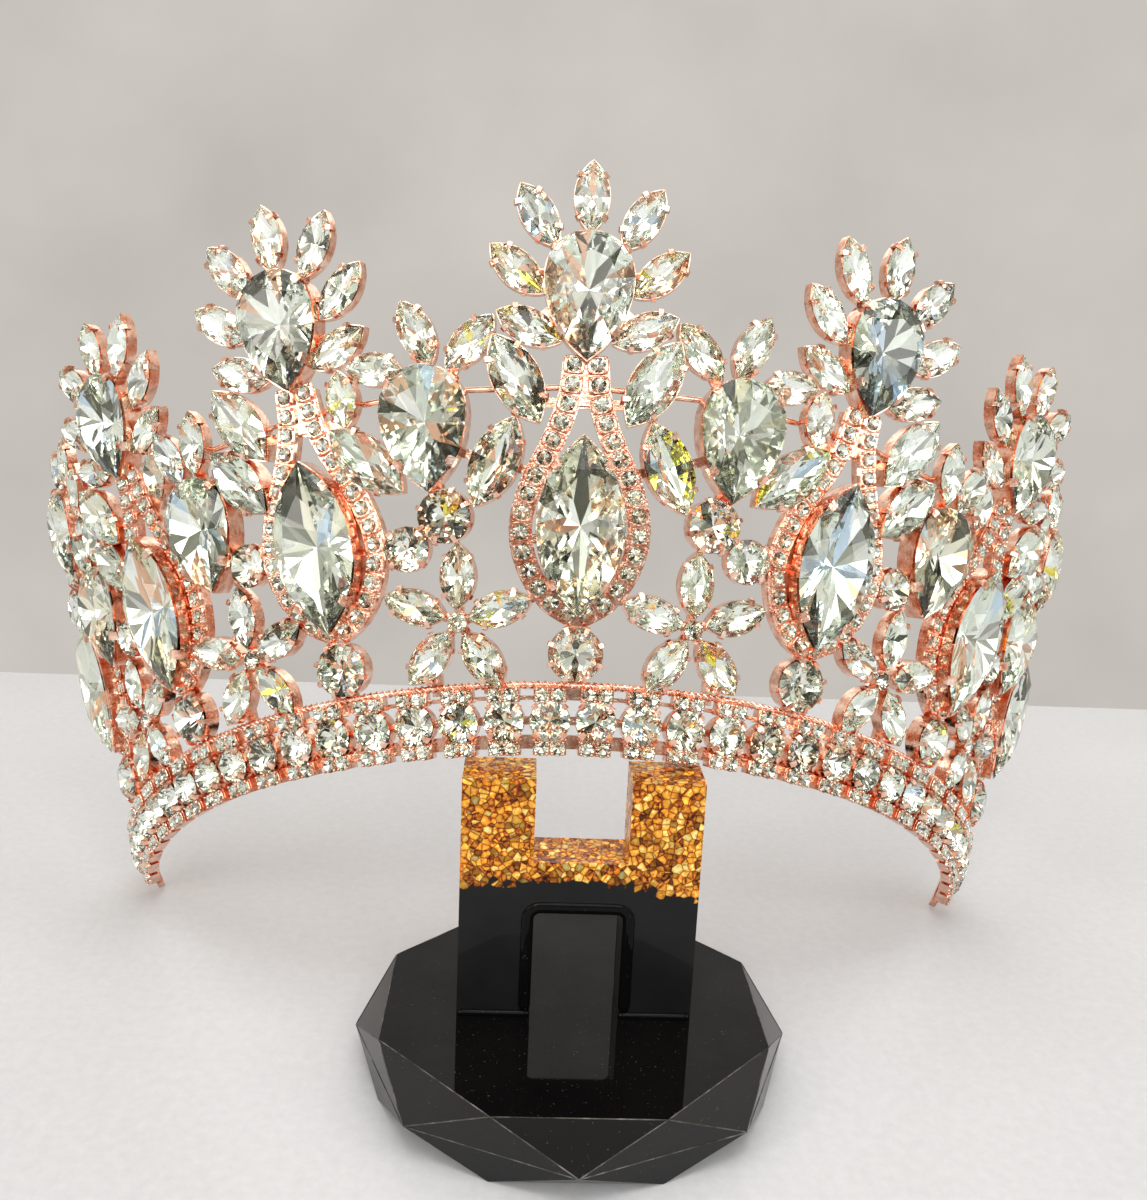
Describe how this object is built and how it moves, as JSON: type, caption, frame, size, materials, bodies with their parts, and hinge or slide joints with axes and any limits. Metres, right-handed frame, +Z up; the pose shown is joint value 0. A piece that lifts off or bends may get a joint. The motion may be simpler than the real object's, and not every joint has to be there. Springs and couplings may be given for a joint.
{
  "type": "bridal crown on a display stand",
  "caption": "Tall rose-gold bridal crown of claw-set clear stones, open at the back, resting on a plain two-post display stand.",
  "frame": {"origin": "centre of the stand base's underside", "axes": "+X to the viewer's right along the crown's width, -Y to the viewer, +Z up"},
  "size_m": [0.2732, 0.1533, 0.1721],
  "materials": {
    "rose_metal": "polished rose-gold plate",
    "clear_crystal": "cut and polished",
    "black_resin": "gloss",
    "flaked_resin": "gloss, with gold flakes in its upper part"
  },
  "bodies": {
    "root": {"stand_base": "black_resin", "stand_upright": "flaked_resin", "crown_frame": "rose_metal", "band_stones": "clear_crystal", "fan_petals": "clear_crystal", "spray_petals": "clear_crystal", "spray_rounds": "clear_crystal", "flower_petals": "clear_crystal", "flower_middles": "clear_crystal", "drop_navette_0": "clear_crystal", "drop_navette_1": "clear_crystal", "drop_navette_2": "clear_crystal", "drop_navette_3": "clear_crystal", "drop_navette_4": "clear_crystal", "drop_navette_5": "clear_crystal", "drop_navette_6": "clear_crystal", "drop_pear_0": "clear_crystal", "drop_pear_1": "clear_crystal", "drop_pear_2": "clear_crystal", "drop_pear_3": "clear_crystal", "drop_pear_4": "clear_crystal", "drop_pear_5": "clear_crystal", "drop_pear_6": "clear_crystal", "drop_round_0": "clear_crystal", "drop_round_1": "clear_crystal", "drop_round_2": "clear_crystal", "drop_round_3": "clear_crystal", "drop_round_4": "clear_crystal", "drop_round_5": "clear_crystal", "drop_round_6": "clear_crystal", "spray_pear_0": "clear_crystal", "spray_pear_1": "clear_crystal", "spray_pear_2": "clear_crystal", "spray_pear_3": "clear_crystal", "spray_pear_4": "clear_crystal", "spray_pear_5": "clear_crystal", "neck_navette_0": "clear_crystal", "neck_navette_1": "clear_crystal", "neck_navette_2": "clear_crystal", "neck_navette_3": "clear_crystal", "neck_navette_4": "clear_crystal", "neck_navette_5": "clear_crystal", "neck_navette_6": "clear_crystal", "neck_navette_7": "clear_crystal", "spray_navette_0": "clear_crystal", "spray_navette_1": "clear_crystal", "spray_navette_2": "clear_crystal", "spray_navette_3": "clear_crystal", "spray_navette_4": "clear_crystal", "spray_navette_5": "clear_crystal", "spray_navette_6": "clear_crystal", "spray_navette_7": "clear_crystal"}
  },
  "joints": []
}
